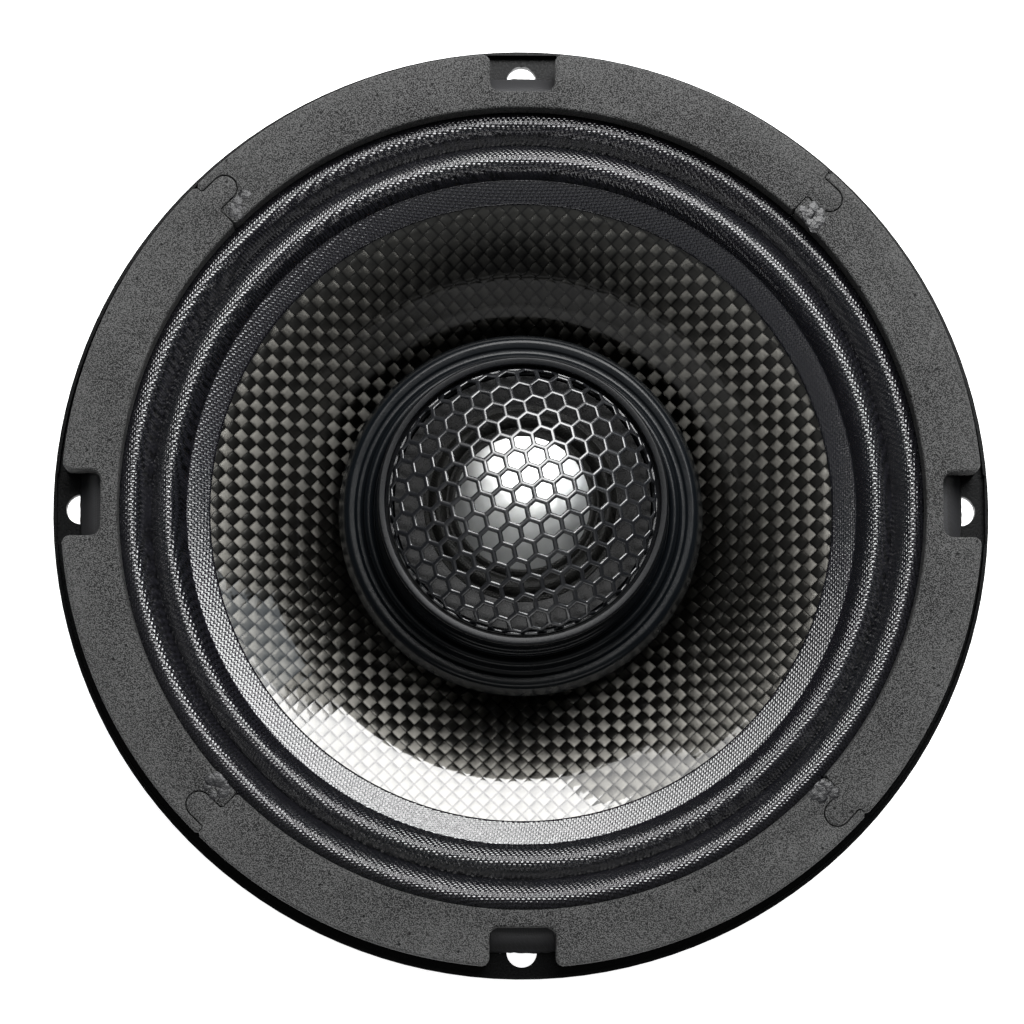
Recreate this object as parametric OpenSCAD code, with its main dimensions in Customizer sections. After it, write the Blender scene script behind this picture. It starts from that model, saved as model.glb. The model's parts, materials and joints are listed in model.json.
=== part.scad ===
// Coaxial car speaker of the 165 mm class: a woofer with a dome tweeter on a
// fixed plinth in the middle of its cone.
// +Z is the speaker's axis, towards the listener. The origin is the centre of the
// bolt circle, in the rear face of the mounting flange. Lengths are millimetres.

/* [Basket] */
// Outside diameter of the flange
frame_d = 165; // [163:0.5:168]
// Bolt circle of the four mounting holes
bolt_circle = 155.5; // [155:0.1:156]
// Diameter of a mounting hole
hole_d = 5.3; // [4.5:0.1:5.6]
// Thickness of the flange at the mounting holes
flange_t = 2; // [1.5:0.1:2.5]
// Height of the ledge that carries the surround
ledge_h = 6.5; // [6:0.1:6.8]
// Width of the pocket at each mounting hole
pocket_w = 12.4; // [11.6:0.1:14]
// Half angle of each window between two legs
window_half_deg = 34; // [28:1:35]

/* [Gasket] */
// Thickness of the foam gasket
gasket_t = 4.5; // [3:0.1:5]
// Inner radius of the gasket
gasket_in_r = 70.7; // [70:0.1:71.5]
// Outer radius of the gasket
gasket_out_r = 80.6; // [79.5:0.1:81]
// Width of the notch in the gasket at each mounting hole
notch_w = 11.5; // [10:0.1:11.6]

/* [Cone] */
// Radius at the outer edge of the cone
cone_out_r = 57.5; // [57:0.1:58.5]
// Steepness of the cone at its neck
cone_neck_deg = 41; // [39:0.5:42]
// Steepness of the cone at its outer edge
cone_edge_deg = 17.5; // [16:0.5:18.5]
// Height that each roll of the surround stands above its valleys
roll_h = 3; // [2:0.1:3.2]

/* [Motor] */
// Radius of the ferrite magnet
magnet_r = 50; // [49.2:0.1:50]
// Thickness of the ferrite magnet
magnet_t = 15; // [14.5:0.5:15]
// Inner radius of the voice coil former
coil_in_r = 19.15; // [19.1:0.01:19.2]

/* [Tweeter] */
// Radius at the foot of the tweeter plinth
plinth_r = 32.5; // [31.5:0.1:33]
// Outer radius of the ring round the grille
ring_r = 25.3; // [25:0.1:25.6]
// Radius of the bright dome
dome_r = 12; // [11.9:0.05:12]
// Height of the dome
dome_h = 2.5; // [2.2:0.1:4.2]
// Distance between neighbouring holes of the grille
mesh_pitch = 3.65; // [3.4:0.05:4.5]
// Width of the strands between the grille's holes
strand_w = 0.55; // [0.4:0.05:0.9]

/* [Hidden] */
$fn = 96;

// Flange
rim_r = frame_d / 2;
lip_h = 4.2;
lip_in_r = rim_r - 0.6;
ledge_in_r = 70.5;
ledge_out_r = 80.3;
bolt_r = bolt_circle / 2;
pocket_in_r = 74.6;
pocket_floor_r = 77.6;

// Gasket: the angles of its four joints, and the jigsaw tab at each of them
gasket_z = ledge_h + 0.5;
gasket_joints = [-42.3, 47.5, 135.7, 225.7, 317.7];
tab_r = 76.7;
tab_half_w = 2.2;
tab_len = 5.5;
notch_in_r = 73.7;

// Cone
cone_neck_r = 20;
cone_t = 1;
cone_neck_slope = tan(cone_neck_deg);
cone_edge_slope = tan(cone_edge_deg);
cone_span = cone_out_r - cone_neck_r;
cone_edge_z = 2.6;
eyelet_z = -17.2;
cone_neck_z = cone_edge_z - cone_span * (cone_neck_slope + cone_edge_slope) / 2;

// Surround: two rolls side by side
cloth_t = 0.5;
cloth_in_r = 55.1;
crease_r = [59.6, 65.3, 70.6];
valley_z = 3.5;
glue_gap = 0.3;

// Spider: five waves between the coil former and the ledge in the basket
spider_ledge_z = -27.3;
spider_z = spider_ledge_z + cloth_t;
spider_wave = 1.1;
spider_wave_in_r = 22;
spider_wave_out_r = 45.4;

// Motor, from the front down
seat_z = -38;
top_plate_t = 6;
plate_r = 48;
magnet_top_z = seat_z - top_plate_t;
magnet_bottom_z = magnet_top_z - magnet_t;
yoke_t = 6;
yoke_bottom_z = magnet_bottom_z - yoke_t;
boot_t = 3;
boot_z = yoke_bottom_z - boot_t;
boot_in_r = magnet_r + 0.2;
former_t = 0.3;
winding_t = 0.65;
coil_gap = 0.35;
coil_out_r = coil_in_r + former_t + winding_t;
pole_r = coil_in_r - coil_gap;
pole_top_z = seat_z + 0.5;
stud_r = 4;
stud_hole_r = 4.2;
screw_circle_r = 34;

// Terminals
board_y = -57;
board_t = 1.4;
blade_t = 0.8;
blade_y = board_y - board_t;
blade_x = 8;
lug_top_z = -19;
capacitor_deg = 30;
capacitor_y = -59.5;
capacitor_z = -31;
capacitor_r = 5;
capacitor_len = 20;

// Tweeter
plinth_z = -4.7;
plinth_floor_z = -3.2;
housing_z = 1.5;
faceplate_z = 9.4;
dome_z = 12;
winding_r = dome_r + 0.6;
mesh_z = 12.2;
mesh_r = 23.4;
mesh_t = 0.5;
mesh_knuckle_r = 2.2;
mesh_knuckle_z = 14.5;
mesh_crown_r = 45;
ring_z = 14.2;
ring_top_z = 15.5;

function arc(x, y, r, a0, a1, n) =
    [for (i = [0:n]) let (a = a0 + (a1 - a0) * i / n) [x + r * cos(a), y + r * sin(a)]];
function reversed(list) = [for (i = [len(list) - 1:-1:0]) list[i]];
function raised(points, dz) = [for (p = points) p + [0, dz]];
function steps(a, b, n) = [for (i = [0:n]) a + (b - a) * i / n];

// Height of the cone's front face at radius r
function cone_z(r) =
    let (d = r - cone_neck_r)
    cone_neck_z + cone_neck_slope * d
        + (cone_edge_slope - cone_neck_slope) * d * d / (2 * cone_span);

// A band with an even height t above the line of points
module band(points, t) {
    rotate_extrude() polygon(concat(points, reversed(raised(points, t))));
}

module tube(outer, inner, z0, z1) {
    rotate_extrude() translate([inner, z0]) square([outer - inner, z1 - z0]);
}

module disc(r, z0, z1) {
    translate([0, 0, z0]) cylinder(r = r, h = z1 - z0);
}

// A rectangle with round corners, centred
module round_rect(w, h, r) {
    square([w, h - 2 * r], center = true);
    square([w - 2 * r, h], center = true);
    for (x = [-1, 1], y = [-1, 1]) translate([x * (w / 2 - r), y * (h / 2 - r)]) circle(r, $fn = 32);
}

module quarters() {
    for (k = [0:3]) rotate(90 * k) children();
}

// Extrudes an outline drawn in Y and Z along X, centred
module along_x(w) {
    rotate([90, 0, 90]) translate([0, 0, -w / 2]) linear_extrude(w) children();
}

// Extrudes an outline drawn in X and Z towards -Y, from the plane y
module out_from(y, t) {
    translate([0, y, 0]) rotate([90, 0, 0]) linear_extrude(t) children();
}

// A round wire through the points of a route
module wire(route, r) {
    sides = 8;
    n = len(route);
    function along(i) =
        let (d = route[min(i + 1, n - 1)] - route[max(i - 1, 0)]) d / norm(d);
    // The side vector is carried along the route, so that the wire doesn't twist
    function sideways(i) =
        let (v = i == 0 ? (abs(along(0).x) < 0.9 ? [1, 0, 0] : [0, 1, 0]) : sideways(i - 1),
             s = v - (v * along(i)) * along(i)) s / norm(s);
    rings = [for (i = [0:n - 1])
        let (s = sideways(i), u = cross(along(i), s))
        for (k = [0:sides - 1]) route[i] + r * (cos(360 * k / sides) * s + sin(360 * k / sides) * u)];
    walls = [for (i = [0:n - 2], k = [0:sides - 1])
        let (a = i * sides, k2 = (k + 1) % sides)
        [a + k, a + sides + k, a + sides + k2, a + k2]];
    ends = [[for (k = [0:sides - 1]) k], [for (k = [sides - 1:-1:0]) (n - 1) * sides + k]];
    polyhedron(rings, concat(walls, ends), convexity = 6);
}

// ---- Basket ----

basket_profile = [
    [rim_r, 0], [rim_r, lip_h], [lip_in_r, lip_h], [lip_in_r, flange_t], [ledge_out_r, flange_t],
    [ledge_out_r, ledge_h], [ledge_in_r, ledge_h], [ledge_in_r, 0.5], [68.2, -2], [52.6, -22.5],
    [50.2, -24.5], [50.2, spider_ledge_z], [45.4, spider_ledge_z], [43.6, -29.5], [43.6, -34],
    [42.6, seat_z + 3], [25, seat_z + 3], [25, seat_z], [plate_r, seat_z], [plate_r, -33],
    [53.5, -27.5], [55.6, -24.5], [55.8, -22.5], [70.3, -3], [71.3, -1.5], [71.3, 0]
];

module window() {
    reach = 90;
    translate([0, 0, -21.5]) linear_extrude(17.5) polygon([
        [0, 0], reach * [cos(window_half_deg), -sin(window_half_deg)],
        reach * [cos(window_half_deg), sin(window_half_deg)]]);
}

module vent_slot() {
    rotate([0, 90, 0]) linear_extrude(60) translate([31.5, 0]) round_rect(3.6, 9, 1.7);
}

module mounting_pocket() {
    rotate(90) along_x(pocket_w) polygon([
        [-pocket_in_r, ledge_h + 1], [-pocket_in_r, ledge_h], [-pocket_floor_r, flange_t],
        [-lip_in_r, flange_t], [-lip_in_r, ledge_h + 1]]);
    translate([bolt_r, 0, -1]) cylinder(d = hole_d, h = ledge_h + 3);
}

module leg_rib(deg) {
    rotate(deg + 90) along_x(2.4) polygon([
        [-69, -2.5], [-71.2, -2.5], [-71, -5.5], [-57.2, -24.6], [-53.4, -28], [-54.3, -22.8]]);
}

module terminal_boss() {
    along_x(18) polygon([
        [board_y, -34], [board_y, -25], [-55, -23.6], [-51.6, -25], [-51.6, -28.5], [-46.5, -31.5],
        [-46.5, -34]]);
}

module capacitor_pad() {
    rotate(capacitor_deg) along_x(14) polygon([
        [-53.5, -35], [-53.5, -27], [-51.6, -27], [-51.6, -29], [-46.5, -32], [-46.5, -35]]);
}

module basket() color("#1c1e20") difference() {
    union() {
        difference() {
            rotate_extrude() polygon(basket_profile);
            quarters() window();
            quarters() for (deg = [-15, 15, 45]) rotate(deg) vent_slot();
            quarters() mounting_pocket();
        }
        quarters() for (deg = [36.5, 45, 53.5]) leg_rib(deg);
        terminal_boss();
        capacitor_pad();
    }
    quarters() rotate(45) translate([screw_circle_r, 0, seat_z - 1]) cylinder(r = 2.2, h = 6);
    for (z = [-27, -32]) translate([0, board_y - 1, z]) rotate([-90, 0, 0]) cylinder(r = 1.5, h = 4);
}

// ---- Gasket: four foam strips, each centred on a mounting hole ----

module wedge(a0, a1) {
    reach = 150;
    polygon(concat([[0, 0]], [for (a = steps(a0, a1, 2)) reach * [cos(a), sin(a)]]));
}

module tab(deg, play) {
    rotate(deg) translate([tab_r, 0]) {
        translate([-tab_half_w - play, tab_half_w - tab_len])
            square([2 * (tab_half_w + play), tab_len - tab_half_w + 0.5]);
        translate([0, tab_half_w - tab_len]) circle(tab_half_w + play, $fn = 32);
    }
}

module notch() {
    inner = 1.8;
    outer = 1.4;
    reach = 90 - notch_in_r;
    translate([notch_in_r + reach / 2, 0]) round_rect(reach, notch_w, inner);
    for (side = [-1, 1]) translate([gasket_out_r - outer, side * (notch_w / 2 + outer)])
        difference() {
            translate([0, side > 0 ? -outer : 0]) square([4, outer]);
            circle(outer, $fn = 32);
        }
}

// The strip's section: a rectangle with soft front edges
module gasket_section() {
    soft = 0.8;
    top = gasket_z + gasket_t;
    rotate_extrude() polygon(concat(
        [[gasket_in_r, gasket_z], [gasket_out_r, gasket_z]],
        arc(gasket_out_r - soft, top - soft, soft, 0, 90, 4),
        arc(gasket_in_r + soft, top - soft, soft, 90, 180, 4)));
}

module gasket(k) color("#3a3c3f") intersection() {
    gasket_section();
    translate([0, 0, gasket_z - 1]) linear_extrude(gasket_t + 2) union() {
        difference() {
            wedge(gasket_joints[k], gasket_joints[k + 1]);
            rotate(90 * k) notch();
            tab(gasket_joints[k + 1], 0.12);
        }
        tab(gasket_joints[k], 0);
    }
}

module gasket_right() gasket(0);
module gasket_top() gasket(1);
module gasket_left() gasket(2);
module gasket_bottom() gasket(3);

// ---- Moving system ----

function roll(r0, r1, z0, z1, h) =
    [for (t = steps(0, 1, 8)) [r0 + (r1 - r0) * t, z0 + (z1 - z0) * t + h * sin(180 * t)]];

module surround() color("#17181a") difference() {
    band(concat(
        [for (r = steps(cloth_in_r, crease_r[0] - 0.8, 3)) [r, cone_z(r) + glue_gap]],
        roll(crease_r[0], crease_r[1], valley_z, valley_z, roll_h),
        [for (p = roll(crease_r[1], crease_r[2], valley_z, ledge_h, roll_h - 0.6)) if (p.x > crease_r[1]) p],
        [[79.8, ledge_h]]), cloth_t);
    quarters() translate([pocket_in_r, -pocket_w / 2, ledge_h - 1]) cube([10, pocket_w, 3]);
}

cone_front = [for (r = steps(cone_neck_r + 0.2, cone_out_r, 16)) [r, cone_z(r)]];
cone_back = raised(cone_front, -cone_t);

module cone() color("#2b2d30") {
    neck_r = coil_in_r + former_t;
    foot = cone_neck_z - 2;
    rotate_extrude() polygon(concat(
        [[neck_r, foot], [neck_r, cone_neck_z]], cone_front, reversed(cone_back), [[cone_neck_r + 0.2, foot]]));
}

module voice_coil_former() color("#b8863b")
    tube(coil_in_r + former_t, coil_in_r, -50, cone_neck_z + 0.6);

module voice_coil_winding() color("#8a4b26")
    tube(coil_out_r, coil_in_r + former_t, seat_z - top_plate_t / 2 - 7, seat_z - top_plate_t / 2 + 7);

module lead_eyelets() color("#c9a45a") difference() {
    for (side = [-1, 1]) translate([side * blade_x, -27, eyelet_z]) cylinder(r = 1.6, h = 4.6, $fn = 32);
    rotate_extrude() polygon(concat(cone_back, [[cone_out_r, 0], [cone_neck_r + 0.2, 0]]));
}

module spider() color("#b39a5b") band(concat(
    [[coil_in_r + former_t + glue_gap, spider_z]],
    [for (r = steps(spider_wave_in_r, spider_wave_out_r, 40))
        [r, spider_z + spider_wave * sin(1800 * (r - spider_wave_in_r) / (spider_wave_out_r - spider_wave_in_r))]],
    [[49.8, spider_z]]), cloth_t);

// Each flexible lead leaves its terminal, sags over the spider and ends at the cone
function tinsel_route(x) = [
    [x, -58.8, -19], [x, -58.6, -17.7], [x, -57.2, -16.7], [x, -54.5, -16.9], [x, -51, -18.2],
    [x, -47, -20.1], [x, -43, -21.6], [x, -39, -22.4], [x, -35, -22.6], [x, -31.6, -22.2],
    [x, -28.9, -20.9], [x, -27.4, -19.4], [x, -27, eyelet_z - 0.3]];

module tinsel_leads() color("#c7b9a0") {
    wire(tinsel_route(-blade_x), 0.8);
    wire(tinsel_route(blade_x), 0.8);
}

// ---- Magnet system ----

module top_plate() color("#8f9396") difference() {
    tube(plate_r, coil_out_r + coil_gap, magnet_top_z, seat_z);
    quarters() rotate(45) translate([screw_circle_r, 0, magnet_top_z - 1]) cylinder(r = 2, h = top_plate_t + 2);
}

module ferrite_magnet() color("#3a3b3d") tube(magnet_r, 27, magnet_bottom_z, magnet_top_z);

module pole_yoke() color("#8f9396") difference() {
    union() {
        disc(pole_r, magnet_bottom_z, pole_top_z);
        rotate_extrude() polygon([
            [0, magnet_bottom_z], [plate_r, magnet_bottom_z], [plate_r, yoke_bottom_z + 1.5],
            [plate_r - 1.5, yoke_bottom_z], [0, yoke_bottom_z]]);
    }
    disc(stud_hole_r, yoke_bottom_z - 1, pole_top_z + 1);
    disc(9, yoke_bottom_z - 1, yoke_bottom_z + 5);
}

// The boot's side bulges where the tweeter's leads run up inside it
module magnet_boot() color("#141516") difference() {
    top = magnet_top_z - 1;
    outer = boot_in_r + 2;
    union() {
        rotate_extrude() polygon(concat(
            [[0, boot_z]], arc(outer - 2, boot_z + 2, 2, -90, 0, 5),
            [[outer, top - 1.6], [outer + 0.5, top - 1.1], [outer + 0.5, top], [0, top]]));
        translate([0, 0, boot_z + 0.5]) linear_extrude(top - boot_z - 0.5)
            translate([0, -50.4]) round_rect(9.6, 8, 1.5);
    }
    disc(boot_in_r, yoke_bottom_z, top + 1);
    translate([-3, -52.6, yoke_bottom_z - 2]) cube([6, 55.6, 2.5]);
    translate([-3, -52.6, yoke_bottom_z - 2]) cube([6, 6, 40]);
}

module plate_screws() color("#2a2a2c") quarters() rotate(45) translate([screw_circle_r, 0, 0])
    difference() {
        union() {
            disc(3.6, seat_z + 3, seat_z + 4.9);
            disc(2, seat_z - 4, seat_z + 3);
        }
        translate([0, 0, seat_z + 3.8]) cylinder(r = 1.7, h = 2, $fn = 6);
    }

// ---- Terminals and crossover ----

module terminal_board() color("#23211f") difference() {
    out_from(board_y, board_t) translate([0, -27.5]) round_rect(28, 17, 2);
    for (x = [-blade_x, blade_x]) translate([x, board_y + 1, -22]) rotate([90, 0, 0]) cylinder(r = 1.1, h = 4);
    for (z = [-27, -32]) translate([0, board_y + 1, z]) rotate([90, 0, 0]) cylinder(r = 1.5, h = 4);
}

// A flat blade with a bevelled tip, and a narrow solder lug at its upper end
module blade(w) {
    out_from(blade_y, blade_t) difference() {
        polygon([
            [-w / 2, -25], [-w / 2, -43.8], [-w / 2 + 1.2, -45], [w / 2 - 1.2, -45],
            [w / 2, -43.8], [w / 2, -25], [2.2, -23.4], [2.2, lug_top_z], [-2.2, lug_top_z], [-2.2, -23.4]]);
        translate([0, -41.5]) circle(0.85, $fn = 32);
        translate([0, -22]) circle(1.1, $fn = 32);
    }
}

module positive_terminal() color("#d8c07a") translate([blade_x, 0, 0]) blade(6.3);
module negative_terminal() color("#c9ccd0") translate([-blade_x, 0, 0]) blade(4.8);

module rivet(y, z, r, head_r, head_t, length) {
    translate([0, y, z]) rotate([90, 0, 0]) {
        cylinder(r = head_r, h = head_t, $fn = 32);
        translate([0, 0, -length]) cylinder(r = r, h = length + 0.1);
    }
}

module terminal_rivets() color("#b9bcc0") for (x = [-blade_x, blade_x]) translate([x, 0, 0]) {
    rivet(blade_y - blade_t, -22, 1.1, 1.9, 0.6, blade_t + board_t + 0.1);
    translate([0, board_y + 0.6, -22]) rotate([90, 0, 0]) cylinder(r = 1.9, h = 0.6, $fn = 32);
}

module board_rivets() color("#8b8e91") for (z = [-27, -32]) rivet(blade_y, z, 1.5, 2.5, 0.9, 4);

module capacitor_place() {
    rotate(capacitor_deg) translate([0, capacitor_y, capacitor_z]) rotate([0, 90, 0]) children();
}

module crossover_capacitor() color("#27456b") capacitor_place() {
    cylinder(r = capacitor_r - 0.3, h = capacitor_len, center = true);
    for (z = [-1, 1]) translate([0, 0, z * (capacitor_len / 2 - 2.2)]) cylinder(r = capacitor_r, h = 4, center = true);
    cylinder(r = 0.4, h = capacitor_len + 4, center = true, $fn = 32);
}

module capacitor_saddle() color("#e8e2cf") difference() {
    rotate(capacitor_deg) translate([-5, -58, -35]) cube([10, 4.5, 7.3]);
    capacitor_place() cylinder(r = capacitor_r, h = 40, center = true);
}

module capacitor_lead() color("#b3272d") wire([
    [19.1, -57.6, -31], [17, -58.7, -31], [14, -59.6, -30.6], [11.5, -60, -30], [9.6, -60, -29.2],
    [8.4, -59.9, -28.2]], 0.5);

// Both leads run from under the tweeter, down the hollow stud, out along the rear
// face and up inside the boot; one ends at its terminal, the other at the capacitor
function inner_route(side) = [for (p = [
    [3, -18.9, 9.2], [3, -18.9, 6.5], [3, -18.9, 4], [3, -18.2, 2.2], [2.8, -16.4, 1.3],
    [2.6, -14, 1.2], [2, -10, 1.2], [1.6, -6, 1.2], [1.4, -3, 1.1], [1.2, -1.2, 0.5],
    [1.2, -0.4, -0.8], [1.2, 0, -3], [1.2, 0, -12], [1.2, 0, -22], [1.2, 0, -32], [1.2, 0, -42],
    [1.2, 0, -52], [1.2, 0, -60], [1.2, -0.2, -63], [1.2, -0.9, -64.8], [1.4, -2.6, -65.8],
    [1.4, -6, -66], [1.4, -16, -66], [1.4, -26, -66], [1.4, -36, -66], [1.4, -46, -66],
    [1.4, -49.4, -65.7], [1.4, -51.1, -64.4], [1.4, -51.4, -62], [1.4, -51.4, -54],
    [1.4, -51.4, -46]]) [side * p.x, p.y, p.z]];

module tweeter_leads() color("#7d1f24") {
    wire(concat(inner_route(-1), [
        [-1.6, -51.8, -42], [-2.2, -53.2, -39.2], [-3.2, -56.4, -37.8], [-4.4, -59.2, -37.6],
        [-5.8, -60.4, -36.6], [-7.2, -60.3, -34.4], [-8, -60.1, -32], [-8, -60.1, -28]]), 0.7);
    wire(concat(inner_route(1), [
        [1.6, -51.9, -43], [3, -53, -40.6], [6, -54.4, -39.4], [10, -54.6, -38.8], [15, -53.8, -38.4],
        [20, -52.6, -38], [25, -50.9, -37.8], [30, -49, -37.6], [35, -46.4, -37], [39, -43.8, -35.8],
        [41.6, -42.4, -34], [42.4, -42.8, -32.2], [41.8, -44, -31.2], [40.6, -45.2, -31]]), 0.7);
}

// ---- Tweeter plinth ----

module hollow_stud() color("#b9bcc0") tube(stud_r, 2.6, yoke_bottom_z + 0.8, 0);

module hex_nut(flats, z0, z1) {
    difference() {
        translate([0, 0, z0]) cylinder(d = flats / cos(30), h = z1 - z0, $fn = 6);
        disc(stud_r, z0 - 1, z1 + 1);
    }
}

module rear_nut() color("#c9ccd0") hex_nut(13, yoke_bottom_z + 1.2, yoke_bottom_z + 5);
module plinth_nut() color("#c9ccd0") hex_nut(13, plinth_floor_z, -0.4);

module plinth_post() color("#18191b") rotate_extrude() polygon([
    [stud_hole_r, pole_top_z], [15, pole_top_z], [15, pole_top_z + 2], [10, pole_top_z + 5],
    [9, pole_top_z + 9], [9, plinth_z - 8], [10, plinth_z - 4], [14, plinth_z - 1.5],
    [14, plinth_z], [stud_hole_r, plinth_z]]);

// Foot bead, sloping wall, soft shoulder, flat band, ridge and valley, from outside in
plinth_outline = concat(
    [[plinth_r - 0.3, plinth_z], [plinth_r, plinth_z + 0.3], [plinth_r - 0.1, plinth_z + 1],
     [plinth_r - 0.8, plinth_z + 3.7]],
    arc(plinth_r - 2.3, -0.9, 1.5, 0, 80, 5),
    [[plinth_r - 3, 0.5], [plinth_r - 3.3, 0.1], [plinth_r - 4, 0.1], [plinth_r - 4.4, 0.5]],
    arc(27.1, 1.1, 0.9, 20, 150, 5),
    [[26.1, 0.9], [25.9, housing_z]]);

module tweeter_plinth() color("#1b1d1f") rotate_extrude() polygon(concat(
    [[stud_hole_r, plinth_z]], plinth_outline,
    [[20.5, housing_z], [20.5, plinth_floor_z], [stud_hole_r, plinth_floor_z]]));

module tweeter_housing() color("#1b1d1f") rotate_extrude() polygon([
    [20.5, housing_z], [25.8, housing_z], [25.8, 3.2], [25.4, 3.4], [25.4, 4.6], [25, 4.8],
    [25, ring_z], [24.2, ring_z], [24.2, mesh_z], [22.6, mesh_z], [22.6, faceplate_z],
    [20.5, faceplate_z]]);

// ---- Tweeter ----

module tweeter_yoke() color("#8f9396") difference() {
    disc(16.5, 2.6, faceplate_z);
    disc(winding_r + coil_gap, 4.4, faceplate_z + 1);
}

module tweeter_magnet() color("#b8bcc2") disc(dome_r - 0.6, 4.4, 7.4);
module tweeter_pole_disc() color("#8f9396") disc(dome_r - coil_gap, 7.4, faceplate_z);
module tweeter_damping_pad() color("#4a4b4d") disc(8, faceplate_z, faceplate_z + 1.2);

module tweeter_faceplate() color("#54575b") rotate_extrude() polygon([
    [14.2, faceplate_z], [22.4, faceplate_z], [22.4, mesh_z], [17.4, 11.4], [14.2, 11.4]]);

module tweeter_suspension() color("#1a1a1b") band(concat(
    [[winding_r + glue_gap, 11.4]], roll(13.4, 16.4, 11.4, 11.4, 1.5), [[17.3, 11.4]]), 0.3);

module tweeter_dome() color("#d5d8dc") {
    ball_r = (dome_r * dome_r + dome_h * dome_h) / (2 * dome_h);
    intersection() {
        translate([0, 0, dome_z + dome_h - ball_r]) difference() {
            sphere(ball_r);
            sphere(ball_r - 0.3);
        }
        disc(dome_r + 0.2, dome_z, dome_z + dome_h + 1);
    }
}

module tweeter_coil() color("#b06a35") {
    tube(dome_r + 0.2, dome_r, 6, dome_z);
    tube(winding_r, dome_r + 0.2, 6.9, 9.9);
}

// Half section of the grille: a shallow crown, a tight knuckle and a straight skirt
module grille_half(inset) {
    knuckle_x = mesh_r - mesh_knuckle_r;
    crown_z = mesh_knuckle_z - sqrt(pow(mesh_crown_r - mesh_knuckle_r, 2) - knuckle_x * knuckle_x);
    turn = atan2(mesh_knuckle_z - crown_z, knuckle_x);
    polygon(concat(
        [[0, 0], [mesh_r - inset, 0]],
        arc(knuckle_x, mesh_knuckle_z, mesh_knuckle_r - inset, 0, turn, 3),
        arc(0, crown_z, mesh_crown_r - inset, turn, 90, 5)));
}

// Half the rows of holes, on each side of the middle row
mesh_rows = ceil(mesh_r / mesh_pitch) + 1;

module grille_mesh() color("#35383b") difference() {
    union() {
        intersection() {
            rotate_extrude() grille_half(0);
            disc(mesh_r + 1, mesh_z, 40);
        }
        disc(24.1, mesh_z, mesh_z + mesh_t);
    }
    rotate_extrude() grille_half(mesh_t);
    rotate(12) for (i = [-mesh_rows:mesh_rows], j = [-mesh_rows:mesh_rows]) {
        spot = mesh_pitch * [i + j / 2, j * sin(60)];
        if (norm(spot) < mesh_r - 2.2) translate([spot.x, spot.y, mesh_knuckle_z]) rotate(30)
            cylinder(d = (mesh_pitch - strand_w) / cos(30), h = 12, $fn = 6);
    }
}

module grille_ring() color("#26282a") rotate_extrude() polygon([
    [23.9, ring_z], [ring_r, ring_z], [ring_r, ring_top_z - 0.5], [ring_r - 0.4, ring_top_z],
    [24, ring_top_z - 0.1], [23.9, ring_top_z - 0.3]]);

basket();
gasket_right();
gasket_top();
gasket_left();
gasket_bottom();
surround();
cone();
voice_coil_former();
voice_coil_winding();
lead_eyelets();
spider();
tinsel_leads();
top_plate();
ferrite_magnet();
pole_yoke();
magnet_boot();
plate_screws();
terminal_board();
positive_terminal();
negative_terminal();
terminal_rivets();
board_rivets();
crossover_capacitor();
capacitor_saddle();
capacitor_lead();
tweeter_leads();
hollow_stud();
rear_nut();
plinth_nut();
plinth_post();
tweeter_plinth();
tweeter_housing();
tweeter_yoke();
tweeter_magnet();
tweeter_pole_disc();
tweeter_damping_pad();
tweeter_faceplate();
tweeter_suspension();
tweeter_dome();
tweeter_coil();
grille_mesh();
grille_ring();
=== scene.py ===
"""The looks of a round coaxial car speaker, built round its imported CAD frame.

Lengths in this script are millimetres, turned into metres where a mesh is made. +Z is the speaker's axis,
out of its front; the origin is the centre of the bolt circle, in the rear face of the flange.
"""

import json
import math
import random

import bmesh
import bpy
from mathutils import Matrix, Vector, noise


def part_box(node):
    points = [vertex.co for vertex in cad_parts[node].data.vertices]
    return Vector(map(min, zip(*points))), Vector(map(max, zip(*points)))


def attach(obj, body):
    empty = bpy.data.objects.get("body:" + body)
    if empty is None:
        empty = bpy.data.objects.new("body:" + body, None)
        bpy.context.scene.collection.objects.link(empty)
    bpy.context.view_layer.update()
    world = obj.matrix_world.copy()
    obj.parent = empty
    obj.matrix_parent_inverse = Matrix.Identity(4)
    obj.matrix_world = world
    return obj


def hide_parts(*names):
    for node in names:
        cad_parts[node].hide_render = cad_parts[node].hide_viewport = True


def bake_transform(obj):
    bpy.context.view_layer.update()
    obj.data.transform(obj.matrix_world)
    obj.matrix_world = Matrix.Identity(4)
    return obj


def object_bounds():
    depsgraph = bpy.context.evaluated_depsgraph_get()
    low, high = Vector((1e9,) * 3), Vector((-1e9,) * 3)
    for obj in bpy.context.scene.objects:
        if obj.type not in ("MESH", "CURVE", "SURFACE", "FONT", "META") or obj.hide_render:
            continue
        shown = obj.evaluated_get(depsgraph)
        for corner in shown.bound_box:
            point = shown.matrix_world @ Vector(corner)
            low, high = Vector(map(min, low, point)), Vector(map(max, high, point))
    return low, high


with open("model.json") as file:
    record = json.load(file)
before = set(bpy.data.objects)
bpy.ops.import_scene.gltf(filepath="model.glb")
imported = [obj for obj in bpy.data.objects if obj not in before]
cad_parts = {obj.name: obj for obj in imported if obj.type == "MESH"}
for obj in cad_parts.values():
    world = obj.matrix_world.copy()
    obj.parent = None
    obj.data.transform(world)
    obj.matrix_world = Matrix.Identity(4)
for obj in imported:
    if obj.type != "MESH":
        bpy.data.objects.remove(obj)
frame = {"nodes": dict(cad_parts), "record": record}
cad_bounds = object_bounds()
nodes = frame["nodes"]

MM = 0.001
TURN = 2 * math.pi
FRONT = "frame"


def radii(node):
    """The smallest and largest radius of a CAD node, in millimetres."""
    reach = [math.hypot(v.co.x, v.co.y) / MM for v in nodes[node].data.vertices]
    return min(reach), max(reach)


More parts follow.
